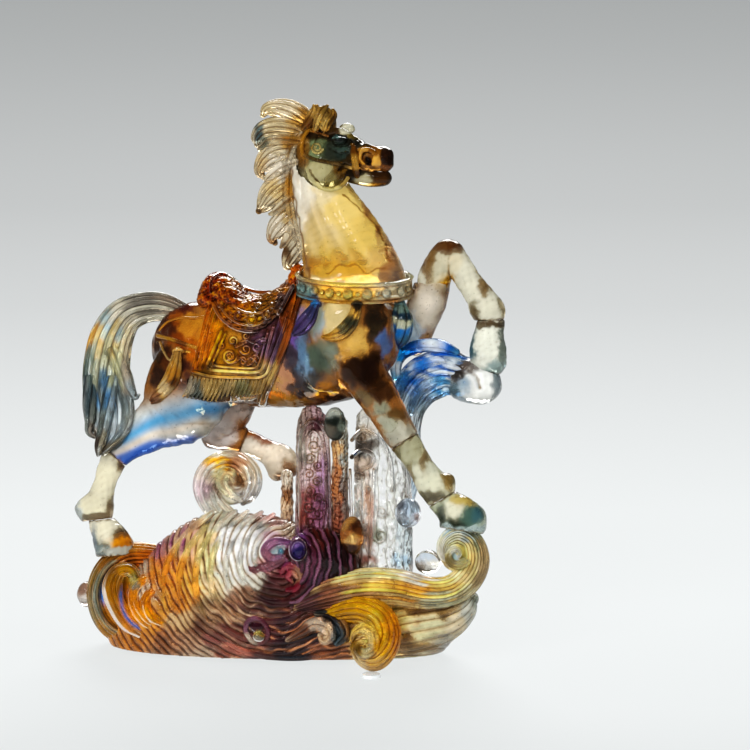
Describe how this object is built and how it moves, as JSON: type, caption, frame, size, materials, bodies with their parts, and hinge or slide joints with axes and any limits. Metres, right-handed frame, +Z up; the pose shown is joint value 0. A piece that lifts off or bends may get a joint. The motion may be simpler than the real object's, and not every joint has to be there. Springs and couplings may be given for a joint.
{
  "type": "crystal glass horse figurine",
  "caption": "Cast coloured crystal glass figurine of a saddled horse stepping over a curling wave base, standing on small clear bumper feet.",
  "frame": {"origin": "centre of the figurine's bounding box in plan, on the plane that its bumper feet stand on", "axes": "+Z up; +X runs from the tail towards the raised foreleg; -Y faces the viewer who sees the horse's right flank"},
  "size_m": [0.1722, 0.0932, 0.2176],
  "materials": {
    "amber": "fire-polished amber crystal glass",
    "aqua": "fire-polished pale aqua and grey crystal glass",
    "blue": "fire-polished blue crystal glass",
    "brown": "fire-polished dark brown crystal glass",
    "clear": "fire-polished clear crystal glass with brown edges",
    "gold": "fire-polished golden crystal glass",
    "milk": "fire-polished milky cream crystal glass",
    "purple": "fire-polished purple and burgundy crystal glass",
    "rubber": "clear soft polyurethane"
  },
  "bodies": {
    "root": {"breast_collar": "gold", "bumper_back": "rubber", "bumper_front": "rubber", "bumper_left": "rubber", "centre_whorl": "purple", "droplet_amber": "amber", "droplet_clear": "clear", "droplet_small": "clear", "droplet_top": "aqua", "ear_far": "gold", "ear_near": "gold", "far_fore_arm": "milk", "far_fore_cannon": "milk", "far_fore_hoof": "milk", "far_hind_cannon": "milk", "far_hind_gaskin": "milk", "fringe_near": "gold", "front_curl": "amber", "girth": "brown", "head": "brown", "left_curl": "amber", "left_inner_curl": "amber", "left_pillar": "purple", "lower_jaw": "brown", "mane_crest": "clear", "mane_lock_1": "clear", "mane_lock_2": "clear", "mane_lock_3": "clear", "mane_lock_4": "clear", "mane_lock_5": "clear", "mane_lock_6": "clear", "middle_rib": "clear", "near_fore_arm": "brown", "near_fore_cannon": "milk", "near_fore_hoof": "aqua", "near_hind_cannon": "milk", "near_hind_gaskin": "blue", "near_hind_hoof": "milk", "neck": "gold", "noseband": "gold", "pebble_left": "clear", "rear_curl": "clear", "right_curl": "aqua", "right_lobe": "gold", "right_pillar": "clear", "right_stream": "amber", "saddle": "amber", "saddle_blanket": "amber", "saddle_skirt_near": "amber", "side_rib": "clear", "small_scroll_front": "brown", "splash_tip": "milk", "splash_wave": "blue", "tail": "aqua", "tassel_centre": "gold", "tassel_far": "blue", "tassel_near": "purple", "tassel_rear": "gold", "torso": "brown", "wave_mound": "purple"}
  },
  "joints": []
}
